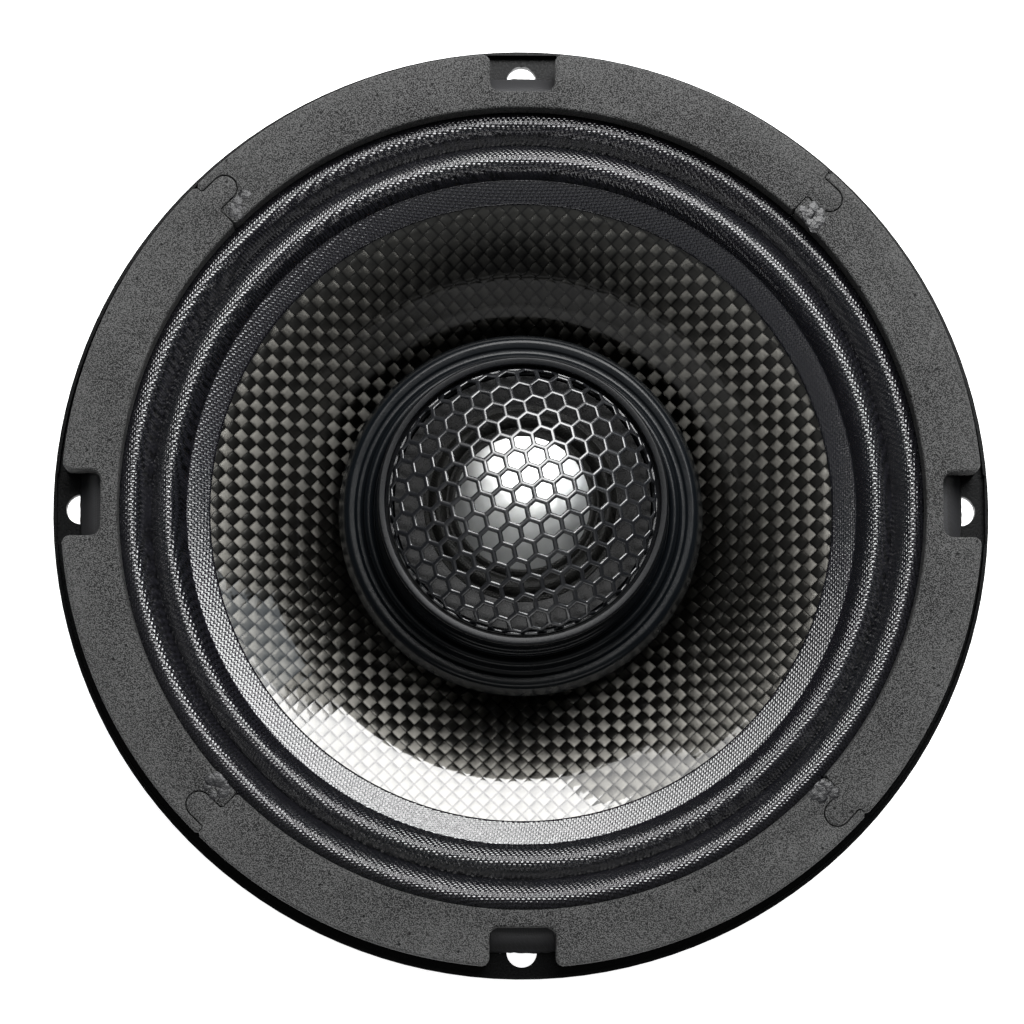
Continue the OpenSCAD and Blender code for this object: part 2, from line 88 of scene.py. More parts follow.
def heights(node):
    """The lowest and highest Z of a CAD node, in millimetres."""
    low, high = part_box(node)
    return low.z / MM, high.z / MM


# ---- Camera, floor and lights ----

def aim(thing, target, up=Vector((0, 1, 0))):
    forward = (target - thing.location).normalized()
    right = forward.cross(up).normalized()
    axes = Matrix((right, right.cross(forward), -forward)).transposed()
    thing.rotation_mode = "QUATERNION"
    thing.rotation_quaternion = axes.to_quaternion()


def toward(azimuth, elevation):
    """A unit vector: azimuth is from +X towards +Y, elevation above the flange's plane, in degrees."""
    a, e = math.radians(azimuth), math.radians(elevation)
    return Vector((math.cos(a) * math.cos(e), math.sin(a) * math.cos(e), math.sin(e)))


def make_camera():
    """Looks at the front from a little below and left of the axis."""
    distance = 0.7
    tilt, side = math.radians(7.6), math.radians(1)
    target = Vector((-1.86, -1.57, 11.5)) * MM
    data = bpy.data.cameras.new("camera")
    data.lens = 141
    data.sensor_width = 36
    camera = bpy.data.objects.new("camera", data)
    bpy.context.scene.collection.objects.link(camera)
    back = Vector((-math.sin(side), -math.sin(tilt), 0))
    back.z = math.sqrt(1 - back.length_squared)
    camera.location = target + back * distance
    aim(camera, target)
    bpy.context.scene.camera = camera


def make_floor():
    """A pale floor a hair below the object, so that no two faces share a plane."""
    half = 3
    low = cad_bounds[0].z - 0.1 * MM
    mesh = bpy.data.meshes.new("floor")
    mesh.from_pydata([(-half, -half, low), (half, -half, low), (half, half, low), (-half, half, low)],
                     [], [(0, 1, 2, 3)])
    floor = bpy.data.objects.new("floor", mesh)
    bpy.context.scene.collection.objects.link(floor)
    paint = bpy.data.materials.new("floor_paint")
    paint.use_nodes = True
    shader = paint.node_tree.nodes["Principled BSDF"]
    shader.inputs["Base Color"].default_value = (0.8, 0.8, 0.8, 1)
    shader.inputs["Roughness"].default_value = 0.9
    shader.inputs["Emission Color"].default_value = (1, 1, 1, 1)
    shader.inputs["Emission Strength"].default_value = 0.9
    mesh.materials.append(paint)


def softbox(name, azimuth, elevation, width, height, radiance, distance=0.6, colour=(1, 1, 1)):
    """A rectangular area light that faces the speaker; radiance is what a mirror would show of it."""
    data = bpy.data.lights.new(name, "AREA")
    data.shape = "RECTANGLE"
    data.size = width
    data.size_y = height
    data.energy = radiance * math.pi * width * height
    data.color = colour
    lamp = bpy.data.objects.new(name, data)
    bpy.context.scene.collection.objects.link(lamp)
    lamp.location = toward(azimuth, elevation) * distance
    lamp.visible_camera = False
    aim(lamp, Vector((0, 0, 0)), Vector((0, 0, 1)))


def make_lights():
    """A bright softbox overhead with a dimmer, wider one behind it, one to the side, and a low strip."""
    softbox("key_core", 75, 56, 0.35, 0.43, 9)
    softbox("key_wings", 82, 56, 0.52, 0.44, 4, distance=0.63)
    softbox("side_softbox", 37, 50, 0.12, 0.4, 1.5, colour=(0.85, 0.93, 1))
    softbox("low_strip", 275, 29, 0.7, 0.09, 3)
    make_sky()
    bpy.context.scene.view_settings.view_transform = "Standard"


def make_sky():
    """A dim studio, brighter overhead; the camera itself sees a plain pale backdrop."""
    world = bpy.data.worlds.new("studio")
    world.use_nodes = True
    tree = world.node_tree
    place = tree.nodes.new("ShaderNodeTexCoord")
    split = tree.nodes.new("ShaderNodeSeparateXYZ")
    ramp = tree.nodes.new("ShaderNodeValToRGB")
    ramp.color_ramp.elements[0].position = 0.78
    ramp.color_ramp.elements[0].color = (0.02, 0.021, 0.023, 1)
    ramp.color_ramp.elements[1].position = 0.985
    ramp.color_ramp.elements[1].color = (0.4, 0.41, 0.41, 1)
    seen = tree.nodes.new("ShaderNodeLightPath")
    choice = tree.nodes.new("ShaderNodeMix")
    choice.data_type = "RGBA"
    choice.inputs[7].default_value = (0.9, 0.9, 0.9, 1)
    tree.links.new(place.outputs["Generated"], split.inputs[0])
    tree.links.new(split.outputs["Z"], ramp.inputs[0])
    tree.links.new(seen.outputs["Is Camera Ray"], choice.inputs[0])
    tree.links.new(ramp.outputs[0], choice.inputs[6])
    tree.links.new(choice.outputs[2], tree.nodes["Background"].inputs["Color"])
    bpy.context.scene.world = world


# ---- Materials ----

class Paint:
    """One node-based material, built up step by step. Sizes are millimetres."""

    def __init__(self, name, colour, roughness, metallic=0.0, **sockets):
        self.material = bpy.data.materials.new(name)
        self.material.use_nodes = True
        self.tree = self.material.node_tree
        self.shader = self.tree.nodes["Principled BSDF"]
        self.place = self.add("ShaderNodeTexCoord").outputs["Object"]
        self.set("Base Color", (*colour, 1))
        self.set("Roughness", roughness)
        self.set("Metallic", metallic)
        for socket, value in sockets.items():
            self.set(socket.replace("_", " ").title().replace("Ior", "IOR"), value)

    def set(self, socket, value):
        self.shader.inputs[socket].default_value = value

    def feed(self, socket, value):
        self.tree.links.new(value, self.shader.inputs[socket])

    def add(self, kind, **settings):
        node = self.tree.nodes.new(kind)
        for key, value in settings.items():
            setattr(node, key, value)
        return node

    def join(self, node, values):
        for k, value in enumerate(values):
            if isinstance(value, bpy.types.NodeSocket):
                self.tree.links.new(value, node.inputs[k])
            elif value is not None:
                node.inputs[k].default_value = value
        return node.outputs[0]

    def math(self, operation, *values):
        return self.join(self.add("ShaderNodeMath", operation=operation), values)

    def vector_math(self, operation, *values):
        return self.join(self.add("ShaderNodeVectorMath", operation=operation), values)

    def noise(self, size, detail=3.0, roughness=0.55):
        """Soft noise from 0 to 1 with features of about this size."""
        node = self.add("ShaderNodeTexNoise")
        node.inputs["Scale"].default_value = 1 / (size * MM)
        node.inputs["Detail"].default_value = detail
        node.inputs["Roughness"].default_value = roughness
        self.tree.links.new(self.place, node.inputs["Vector"])
        return node.outputs["Fac"]

    def cells(self, size):
        """The distance to the nearest of many scattered points, this size apart."""
        node = self.add("ShaderNodeTexVoronoi")
        node.inputs["Scale"].default_value = 1 / (size * MM)
        self.tree.links.new(self.place, node.inputs["Vector"])
        return node.outputs["Distance"]

    def spread(self, value, low, high, to_low=0.0, to_high=1.0):
        """Maps low..high onto to_low..to_high, and stops at the ends."""
        node = self.add("ShaderNodeMapRange", clamp=True)
        return self.join(node, [value, low, high, to_low, to_high])

    def blend(self, factor, first, second):
        """A colour between two colours."""
        node = self.add("ShaderNodeMix", data_type="RGBA")
        for socket, value in ((0, factor), (6, first), (7, second)):
            if isinstance(value, bpy.types.NodeSocket):
                self.tree.links.new(value, node.inputs[socket])
            else:
                node.inputs[socket].default_value = value if socket == 0 else (*value, 1)
        return node.outputs[2]

    def xyz(self):
        """The place's three coordinates, in millimetres."""
        scale = self.add("ShaderNodeVectorMath", operation="SCALE")
        scale.inputs["Scale"].default_value = 1 / MM
        self.tree.links.new(self.place, scale.inputs[0])
        split = self.add("ShaderNodeSeparateXYZ")
        self.tree.links.new(scale.outputs[0], split.inputs[0])
        return split.outputs[0], split.outputs[1], split.outputs[2]

    def radius(self):
        x, y, _ = self.xyz()
        return self.math("SQRT", self.math("ADD", self.math("MULTIPLY", x, x), self.math("MULTIPLY", y, y)))

    def wave(self, value, period, phase=0.0):
        """A sine from 0 to 1 along a value in millimetres."""
        turn = self.math("MULTIPLY_ADD", value, TURN / period, phase)
        return self.math("MULTIPLY_ADD", self.math("SINE", turn), 0.5, 0.5)

    def bump(self, height, depth, socket="Normal"):
        """Relief of this depth where height goes from 0 to 1."""
        node = self.add("ShaderNodeBump")
        node.inputs["Distance"].default_value = depth * MM
        self.tree.links.new(height, node.inputs["Height"])
        self.feed(socket, node.outputs["Normal"])

    def tint(self, factor, first, second):
        self.feed("Base Color", self.blend(factor, first, second))

    def worn_edges(self, amount=0.35, size=0.5):
        """From 0 to 1 where the surface turns sharply outwards, broken up by noise."""
        bevel = self.add("ShaderNodeBevel", samples=4)
        bevel.inputs["Radius"].default_value = size * MM
        geometry = self.add("ShaderNodeNewGeometry")
        same = self.vector_math("DOT_PRODUCT", bevel.outputs[0], geometry.outputs["Normal"])
        same = same.node.outputs["Value"]
        turn = self.spread(same, 0.98, 0.7)
        return self.math("MULTIPLY", turn, self.spread(self.noise(0.6), 0.6 - amount, 0.9 - amount))


def carbon_paint():
    """Plain weave of carbon tows at 45 degrees under clear resin, with painted shade darkening each tow's
    sides and ends.
    """
    paint = Paint("carbon_weave", (0.1, 0.1, 0.1), 0.37, 1.0, coat_weight=1.0, coat_roughness=0.03,
                  coat_ior=1.58, anisotropic=0.95)
    tow = 1.9
    x, y, _ = paint.xyz()
    drift = paint.math("MULTIPLY_ADD", paint.noise(14, 2), 0.7, -0.35)
    across = paint.math("ADD", x, y)
    along = paint.math("SUBTRACT", x, y)
    scale = 1 / (tow * math.sqrt(2))
    u = paint.math("MULTIPLY_ADD", paint.math("ADD", across, drift), scale, 200.0)
    v = paint.math("MULTIPLY_ADD", paint.math("ADD", along, drift), scale, 200.0)
    cell = paint.math("ADD", paint.math("FLOOR", u), paint.math("FLOOR", v))
    over = paint.math("MODULO", cell, 2.0)
    fu = paint.math("SUBTRACT", paint.math("FRACT", u), 0.5)
    fv = paint.math("SUBTRACT", paint.math("FRACT", v), 0.5)
    along_tow = mixed(paint, over, fu, fv)
    across_tow = mixed(paint, over, fv, fu)
    crown = rounded(paint, across_tow, 2.4, 5.0)
    dive = rounded(paint, along_tow, 3.0, 5.5)
    fibres = paint.wave(paint.math("ADD", paint.math("MULTIPLY", across_tow, tow), paint.math(
        "MULTIPLY", paint.noise(0.8), 0.12)), 0.09)
    relief = paint.math("ADD", paint.math("MULTIPLY", crown, dive), paint.math("MULTIPLY", fibres, 0.03))
    paint.bump(relief, 0.09)
    paint.bump(paint.math("ADD", paint.math("MULTIPLY", crown, dive), paint.noise(2.2)), 0.007, "Coat Normal")
    way = paint.add("ShaderNodeCombineXYZ")
    paint.join(way, [1.0, paint.math("MULTIPLY_ADD", over, 2.0, -1.0), 0.0])
    tangent = paint.vector_math("NORMALIZE", way.outputs[0])
    paint.feed("Tangent", tangent)
    # Painted shade: the tone darkens each tow towards its sides and where it dives under its neighbour, where
    # the curved tow turns from the light.
    edge = paint.math("MULTIPLY", paint.spread(crown, 0.0, 0.6), paint.spread(dive, 0.1, 0.8))
    tone = paint.math("MULTIPLY", edge, paint.spread(paint.noise(1.6), 0.25, 0.7, 0.75, 1.0))
    paint.tint(tone, (0.003, 0.003, 0.003), (0.088, 0.085, 0.077))
    return paint.material


def rounded(paint, value, power, drop):
    """1 in the middle of a tow, falling away to its sides."""
    fall = paint.math("POWER", paint.math("ABSOLUTE", value), power)
    return paint.math("SUBTRACT", 1.0, paint.math("MULTIPLY", fall, drop))


def mixed(paint, factor, first, second):
    """A number between two numbers."""
    node = paint.add("ShaderNodeMix", data_type="FLOAT")
    return paint.join(node, [factor, None, first, second])


def cloth_paint(name, thread=0.45, colour=(0.001, 0.001, 0.0013), gloss=0.17, depth=0.06, specular=1.0):
    """Doped cloth: black threads, over and under, with a glossy skin, and painted glints that lighten the
    raised thread tops.
    """
    paint = Paint(name, colour, gloss, specular_ior_level=specular)
    x, y, z = paint.xyz()
    rise = paint.math("MULTIPLY", z, 0.6)
    x = paint.math("ADD", paint.math("ADD", x, rise), paint.math("MULTIPLY", paint.noise(1.2), 0.25))
    y = paint.math("ADD", paint.math("SUBTRACT", y, rise), paint.math("MULTIPLY", paint.noise(1.5), 0.25))
    u = paint.math("MULTIPLY", x, 1 / thread)
    v = paint.math("MULTIPLY", y, 1 / thread)
    over = paint.math("MODULO", paint.math("ADD", paint.math("FLOOR", u), paint.math("FLOOR", v)), 2.0)
    over = paint.math("ABSOLUTE", over)
    warp = paint.wave(x, thread, -math.pi / 2)
    weft = paint.wave(y, thread, -math.pi / 2)
    height = mixed(paint, over, warp, weft)
    height = paint.math("MULTIPLY_ADD", paint.noise(0.5, 2), 1.1, height)
    smooth = paint.spread(paint.radius(), SPLIT_R, SPLIT_R + 0.3, 1.0, 0.1)
    pressed = paint.spread(paint.radius(), CREASES[0] - 0.3, CREASES[0] + 0.6, 0.5, 1.0)
    paint.bump(paint.math("MULTIPLY", paint.math("MULTIPLY", height, smooth), pressed), depth)
    paint.feed("Roughness", paint.spread(smooth, 0.1, 1.0, 0.75, gloss))
    # Painted highlight: the raised parts of the threads are coloured up to twelve times lighter, as painted
    # glints; the pattern itself is the weave.
    paint.tint(paint.spread(height, 0.7, 1.4), colour, tuple(12 * c for c in colour))
    return paint.material


def foam_paint():
    """Closed-cell foam: a fine speckled grain, a few pits with painted shade in them, and a painted highlight
    that lightens it towards its outer edge.
    """
    paint = Paint("foam", (0.03, 0.03, 0.031), 0.7, specular_ior_level=0.3)
    grain = paint.noise(0.22, 2, roughness=0.6)
    # The pits are sunk by the bump and also coloured near black in the tone: painted shade in them.
    pit_relief_and_shade = paint.spread(paint.cells(2.6), 0.06, 0.12)
    mottle = paint.noise(9, 3)
    paint.bump(paint.math("MULTIPLY", grain, pit_relief_and_shade), 0.3)
    # Painted highlight: the colour gets lighter towards the outer edge, standing in for light caught along
    # the rim.
    painted_edge_sheen = paint.spread(paint.radius(), 74.0, 80.0, 0.0, 0.14)
    speckle = paint.spread(paint.math("MULTIPLY_ADD", mottle, 0.1, grain), 0.46, 0.65)
    tone = paint.math("MULTIPLY", paint.math("ADD", speckle, painted_edge_sheen), pit_relief_and_shade)
    paint.tint(tone, (0.002, 0.002, 0.0022), (0.105, 0.105, 0.104))
    return paint.material


def plastic_paint(name, colour, roughness, grain=0.02, size=0.5, specular=0.5):
    """Moulded plastic: fine spark-eroded grain, slight gloss changes, bright worn edges."""
    paint = Paint(name, colour, roughness, specular_ior_level=specular)
    paint.bump(paint.noise(size, 3), grain)
    cloud = paint.noise(7, 4)
    paint.feed("Roughness", paint.spread(cloud, 0.3, 0.7, roughness - 0.06, roughness + 0.06))
    wear = paint.worn_edges()
    tone = paint.math("ADD", paint.math("MULTIPLY", cloud, 0.5), wear)
    paint.tint(tone, colour, tuple(1.8 * c for c in colour))
    return paint.material


def speckled_paint(name, colour, speck, size, roughness, metallic=0.0, specular=0.5, depth=0.02):
    """Powder coat or speckled lacquer: tiny raised grains, some of them brighter."""
    paint = Paint(name, colour, roughness, metallic, specular_ior_level=specular)
    grain = paint.noise(size, 2, roughness=0.7)
    paint.bump(grain, depth)
    spots = paint.spread(paint.cells(size), 0.34, 0.1)
    paint.tint(paint.math("MULTIPLY", spots, paint.spread(grain, 0.35, 0.65)), colour, speck)
    paint.feed("Roughness", paint.spread(grain, 0.3, 0.7, roughness - 0.08, roughness + 0.1))
    return paint.material


def metal_paint(name, colour, roughness, turned=0.0, stain=None):
    """Bare or plated metal: fine marks, and rings from the lathe where turned is their pitch."""
    paint = Paint(name, colour, roughness, 1.0)
    marks = paint.noise(0.25, 4)
    if turned:
        marks = paint.math("MULTIPLY_ADD", paint.wave(paint.radius(), turned), 0.8, marks)
    paint.bump(marks, 0.004)
    cloud = paint.noise(4, 4)
    paint.feed("Roughness", paint.spread(cloud, 0.3, 0.7, roughness * 0.75, roughness * 1.35))
    paint.tint(paint.spread(cloud, 0.35, 0.75), colour, stain or tuple(0.8 * c for c in colour))
    return paint.material


def winding_paint():
    """Copper wire wound in even turns, varnished."""
    paint = Paint("copper_wire", (0.62, 0.26, 0.11), 0.28, 1.0, coat_weight=0.5, coat_roughness=0.1)
    _, _, z = paint.xyz()
    paint.bump(paint.wave(z, 0.24), 0.06)
    paint.tint(paint.noise(1.5), (0.62, 0.25, 0.1), (0.4, 0.13, 0.05))
    return paint.material


def film_paint():
    """Amber polyimide film, slightly see-through."""
    paint = Paint("coil_former", (0.5, 0.24, 0.05), 0.3, coat_weight=0.3)
    paint.bump(paint.noise(2.5, 2), 0.02)
    paint.tint(paint.noise(5), (0.42, 0.19, 0.035), (0.6, 0.32, 0.08))
    return paint.material


def spider_paint():
    """Resin-stiffened cotton, woven and tan."""
    paint = Paint("spider_cloth", (0.42, 0.29, 0.1), 0.7)
    x, y, _ = paint.xyz()
    weave = paint.math("MULTIPLY", paint.wave(x, 0.7), paint.wave(y, 0.7))
    paint.bump(paint.math("ADD", weave, paint.noise(0.4)), 0.12)
    paint.tint(paint.math("MULTIPLY_ADD", weave, 0.7, paint.noise(3)), (0.2, 0.13, 0.045), (0.5, 0.37, 0.16))
    return paint.material


def ferrite_paint():
    """Sintered ferrite: matt charcoal with ground faces."""
    paint = Paint("ferrite", (0.028, 0.028, 0.03), 0.62)
    paint.bump(paint.noise(0.4, 4), 0.05)
    paint.tint(paint.noise(2, 5), (0.018, 0.018, 0.02), (0.05, 0.05, 0.054))
    return paint.material


def rubber_paint():
    """Soft matt rubber with a dusty bloom."""
    paint = Paint("boot_rubber", (0.012, 0.012, 0.013), 0.62, specular_ior_level=0.4)
    paint.bump(paint.noise(0.35, 3), 0.03)
    bloom = paint.spread(paint.noise(11, 5), 0.4, 0.75)
    tone = paint.math("ADD", bloom, paint.worn_edges(0.3, 0.8))
    paint.tint(tone, (0.009, 0.009, 0.01), (0.035, 0.035, 0.037))
    paint.feed("Roughness", paint.spread(bloom, 0.0, 1.0, 0.5, 0.72))
    return paint.material


def fibre_paint():
    """Phenolic fibre board."""
    paint = Paint("board_fibre", (0.02, 0.017, 0.015), 0.5)
    x, _, z = paint.xyz()
    weave = paint.math("ADD", paint.wave(x, 0.5), paint.wave(z, 0.5))
    paint.bump(paint.math("ADD", weave, paint.noise(0.5)), 0.02)
    paint.tint(paint.noise(1.5), (0.016, 0.013, 0.012), (0.045, 0.037, 0.03))
    return paint.material


def tinsel_paint():
    """Fine tinned copper ribbons round cotton."""
    paint = Paint("tinsel_braid", (0.6, 0.52, 0.42), 0.34, 0.85)
    _, y, z = paint.xyz()
    paint.bump(paint.math("ADD", paint.wave(paint.math("ADD", y, z), 0.28), paint.noise(0.2)), 0.05)
    paint.tint(paint.noise(0.5), (0.6, 0.54, 0.46), (0.38, 0.28, 0.2))
    return paint.material


def sleeve_paint():
    """Shrunk plastic sleeve with soft wrinkles and a pale stripe along one side."""
    paint = Paint("capacitor_sleeve", (0.012, 0.04, 0.11), 0.3, coat_weight=0.5, coat_roughness=0.1)
    _, _, z = paint.xyz()
    paint.bump(paint.noise(1.8, 2), 0.05)
    stripe = paint.math("COMPARE", z, -29.3, 1.1)
    paint.tint(stripe, (0.012, 0.04, 0.11), (0.45, 0.48, 0.52))
    return paint.material


def glue_paint():
    """Set elastic glue, cloudy and glossy."""
    paint = Paint("glue_pad", (0.62, 0.54, 0.36), 0.25, subsurface_weight=0.2)
    paint.bump(paint.noise(1.2, 3), 0.25)
    paint.tint(paint.noise(2.5), (0.62, 0.54, 0.36), (0.48, 0.38, 0.2))
    return paint.material


def insulation_paint(name, colour):
    paint = Paint(name, colour, 0.35, coat_weight=0.2)
    paint.bump(paint.noise(0.8, 2), 0.02)
    paint.tint(paint.noise(3), colour, tuple(0.6 * c for c in colour))
    return paint.material


def felt_paint():
    paint = Paint("felt", (0.05, 0.05, 0.05), 0.95, sheen_weight=0.4)
    paint.bump(paint.noise(0.3, 5), 0.2)
    paint.tint(paint.noise(0.5, 4), (0.03, 0.03, 0.03), (0.1, 0.1, 0.1))
    return paint.material


def dome_paint():
    """Polished metal foil with faint stretch marks."""
    paint = Paint("bright_dome", (0.8, 0.81, 0.8), 0.34, 1.0)
    marks = paint.math("ADD", paint.noise(1.6, 4), paint.math("MULTIPLY", paint.noise(0.2, 2), 0.25))
    paint.bump(marks, 0.004)
    paint.tint(paint.spread(paint.noise(2.5, 4), 0.3, 0.7), (0.8, 0.81, 0.81), (0.72, 0.73, 0.71))
    paint.feed("Roughness", paint.spread(paint.noise(3, 3), 0.3, 0.7, 0.31, 0.37))
    return paint.material


def make_paints():
    return {
        "basket_coating": speckled_paint("basket_coating", (0.0008, 0.0009, 0.0011), (0.004, 0.0042, 0.0048),
                                         0.4, 0.3, specular=0.08),
        "foam": foam_paint(),
        "set_glue": plastic_paint("set_glue", (0.006, 0.006, 0.007), 0.4, grain=0.12, size=0.5),
        "doped_cloth": cloth_paint("doped_cloth"),
        "carbon_weave": carbon_paint(),
        "coil_former": film_paint(),
        "copper_wire": winding_paint(),
        "eyelet_brass": metal_paint("eyelet_brass", (0.7, 0.5, 0.2), 0.25),
        "spider_cloth": spider_paint(),
        "tinsel_braid": tinsel_paint(),
        "plated_steel": metal_paint("plated_steel", (0.33, 0.335, 0.345), 0.36, turned=0.6),
        "ferrite": ferrite_paint(),
        "boot_rubber": rubber_paint(),
        "black_screw": speckled_paint("black_screw", (0.012, 0.012, 0.013), (0.05, 0.05, 0.055), 0.2, 0.35,
                                      metallic=0.4),
        "board_fibre": fibre_paint(),
        "brass_blade": metal_paint("brass_blade", (0.75, 0.57, 0.25), 0.22, stain=(0.55, 0.36, 0.12)),
        "tin_blade": metal_paint("tin_blade", (0.7, 0.71, 0.72), 0.25),
        "capacitor_sleeve": sleeve_paint(),
        "glue_pad": glue_paint(),
        "red_insulation": insulation_paint("red_insulation", (0.35, 0.012, 0.012)),
        "dark_insulation": insulation_paint("dark_insulation", (0.015, 0.015, 0.018)),
        "plinth_plastic": plastic_paint("plinth_plastic", (0.0028, 0.0036, 0.0046), 0.24, specular=0.2),
        "neodymium": metal_paint("neodymium", (0.62, 0.63, 0.65), 0.15),
        "felt": felt_paint(),
        "faceplate_plastic": speckled_paint("faceplate_plastic", (0.001, 0.001, 0.0012),
                                            (0.009, 0.01, 0.0125), 0.22, 0.3, specular=0.24, depth=0.004),
        "suspension_cloth": cloth_paint("suspension_cloth", 0.3, (0.0012, 0.0012, 0.0011), 0.42, 0.08,
                                        specular=0.2),
        "bright_dome": dome_paint(),
        "black_mesh": plastic_paint("black_mesh", (0.006, 0.0064, 0.0075), 0.26, grain=0.01, specular=1.0),
        "ring_paint": speckled_paint("ring_paint", (0.0022, 0.0026, 0.0034), (0.016, 0.0175, 0.021),
                                     0.2, 0.32, specular=0.2, depth=0.006),
    }


# ---- Mesh tools ----

def new_object(name, points, faces, slot, body, smooth_deg=38):
    """A mesh piece from points in millimetres, painted with its slot's material, and riding on its body when
    one is given.
    """
    mesh = bpy.data.meshes.new(name)
    mesh.from_pydata([Vector(p) * MM for p in points], [], faces)
    shape = bmesh.new()
    shape.from_mesh(mesh)
    bmesh.ops.remove_doubles(shape, verts=shape.verts, dist=1e-6)
    bmesh.ops.dissolve_degenerate(shape, edges=shape.edges, dist=1e-7)
    bmesh.ops.recalc_face_normals(shape, faces=shape.faces)
    shape.to_mesh(mesh)
    shape.free()
    mesh.shade_smooth()
    mesh.set_sharp_from_angle(angle=math.radians(smooth_deg))
    mesh.materials.append(paints[slot])
    piece = bpy.data.objects.new(name, mesh)
    bpy.context.scene.collection.objects.link(piece)
    if body:
        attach(piece, body)
    return piece


def softened(outline, radius, steps=3, closed=True):
    """The outline with its corners rounded. A corner never takes over more than 0.45 of an edge."""
    points = [Vector(p) for p in outline]
    result = []
    for i, corner in enumerate(points):
        before, after = points[i - 1], points[(i + 1) % len(points)]
        into, out = corner - before, after - corner
        open_end = not closed and i in (0, len(points) - 1)
        if open_end or corner.x < 0.01 or into.angle(out, 0) < math.radians(14):
            result.append(corner)
            continue
        start = corner - into.normalized() * min(radius, 0.45 * into.length)
        end = corner + out.normalized() * min(radius, 0.45 * out.length)
        for k in range(steps + 1):
            t = k / steps
            result.append(start * (1 - t) ** 2 + corner * 2 * t * (1 - t) + end * t * t)
    return [tuple(p) for p in result]


def lathe_faces(rings, count):
    faces = []
    for i in range(rings):
        for j in range(count):
            a, b = i * count + j, i * count + (j + 1) % count
            c, d = (i + 1) % rings * count + (j + 1) % count, (i + 1) % rings * count + j
            faces.append((a, b, c, d))
    return faces


def lathe(name, outline, slot, body=FRONT, steps=288, soft=0.0, wobble=None):
    """Turns a closed outline of (radius, height) round the axis; wobble(x, y, z) adds to the height."""
    outline = softened(outline, soft) if soft else outline
    points = []
    for i in range(steps):
        a = TURN * i / steps
        for r, z in outline:
            x, y = r * math.cos(a), r * math.sin(a)
            points.append((x, y, z + (wobble(x, y, z) if wobble else 0)))
    return new_object(name, points, lathe_faces(steps, len(outline)), slot, body)


def arc(x, y, r, start, end, steps):
    """Points on an arc; angles in degrees."""
    angles = [math.radians(start + (end - start) * i / steps) for i in range(steps + 1)]
    return [(x + r * math.cos(a), y + r * math.sin(a)) for a in angles]


def band(line, thickness):
    """A closed outline of even height above a line of points."""
    return line + [(r, z + thickness) for r, z in reversed(line)]


def smooth_route(points, per_span=5):
    """A Catmull-Rom curve through the points of a route."""
    points = [Vector(p) for p in points]
    padded = [2 * points[0] - points[1], *points, 2 * points[-1] - points[-2]]
    result = []
    for a, b, c, d in zip(padded, padded[1:], padded[2:], padded[3:]):
        for k in range(per_span):
            t = k / per_span
            result.append(0.5 * (2 * b + (c - a) * t + (2 * a - 5 * b + 4 * c - d) * t * t
                                 + (3 * b - a - 3 * c + d) * t ** 3))
    return result + [points[-1]]


def carried_frames(route):
    """For each point of a route, two side vectors that don't twist along it."""
    frames = []
    side = Vector((1, 0, 0))
    for i in range(len(route)):
        along = (route[min(i + 1, len(route) - 1)] - route[max(i - 1, 0)]).normalized()
        if i == 0 and abs(along.x) > 0.9:
            side = Vector((0, 1, 0))
        side = (side - along * side.dot(along)).normalized()
        frames.append((side, along.cross(side)))
    return frames


def tube(route, radius, sides=12):
    """Points and faces of a closed tube along a route."""
    points, faces = [], []
    for place, (side, up) in zip(route, carried_frames(route)):
        for k in range(sides):
            a = TURN * k / sides
            points.append(place + radius * (math.cos(a) * side + math.sin(a) * up))
    for i in range(len(route) - 1):
        for k in range(sides):
            a, b = i * sides + k, i * sides + (k + 1) % sides
            faces.append((a, b, b + sides, a + sides))
    faces.append(tuple(range(sides)))
    last = (len(route) - 1) * sides
    faces.append(tuple(range(last + sides - 1, last - 1, -1)))
    return points, faces


def joined(parts):
    """Several (points, faces) as one."""
    points, faces = [], []
    for some_points, some_faces in parts:
        faces += [tuple(i + len(points) for i in face) for face in some_faces]
        points += some_points
    return points, faces


def set_blend(piece, weight):
    """Bakes the piece's transform and works out weight(point) for each point, from 0, still, to 1; the
    weights are not kept.
    """
    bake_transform(piece)
    values = [weight(v.co / MM) for v in piece.data.vertices]


def blend_by_radius(piece, inner, outer):
    """Works out weights by radius: 1 inside one radius, 0 outside another, easing between them."""
    set_blend(piece, lambda p: 1 - ease(math.hypot(p.x, p.y), inner, outer))


def ease(value, low, high):
    """Goes smoothly from 0 at low to 1 at high."""
    t = min(max((value - low) / (high - low), 0), 1)
    return t * t * (3 - 2 * t)


# ---- Gasket ----

GASKET_JOINTS = [-42.3, 47.5, 135.7, 225.7, 317.7]
GASKET_SIDES = ["right", "top", "left", "bottom"]
TAB_R = 76.7
TAB_HALF = 2.2
TAB_LENGTH = 5.5


def polar(r, degrees, x=0.0, y=0.0):
    """The point (r + x, y) turned by an angle about the axis."""
    a = math.radians(degrees)
    return ((r + x) * math.cos(a) - y * math.sin(a), (r + x) * math.sin(a) + y * math.cos(a))


def tongue(degrees, play):
    """The jigsaw tab's outline at a joint, from its inner to its outer root."""
    half = TAB_HALF + play
    centre = TAB_HALF - TAB_LENGTH
    shape = [(-half - 0.35, 0), (-half, -0.35)]
    shape += [(half * math.cos(a), centre + half * math.sin(a))
              for a in [math.radians(180 + 180 * k / 16) for k in range(17)]]
    shape += [(half, -0.35), (half + 0.35, 0)]
    return [polar(TAB_R, degrees, x, y) for x, y in shape]


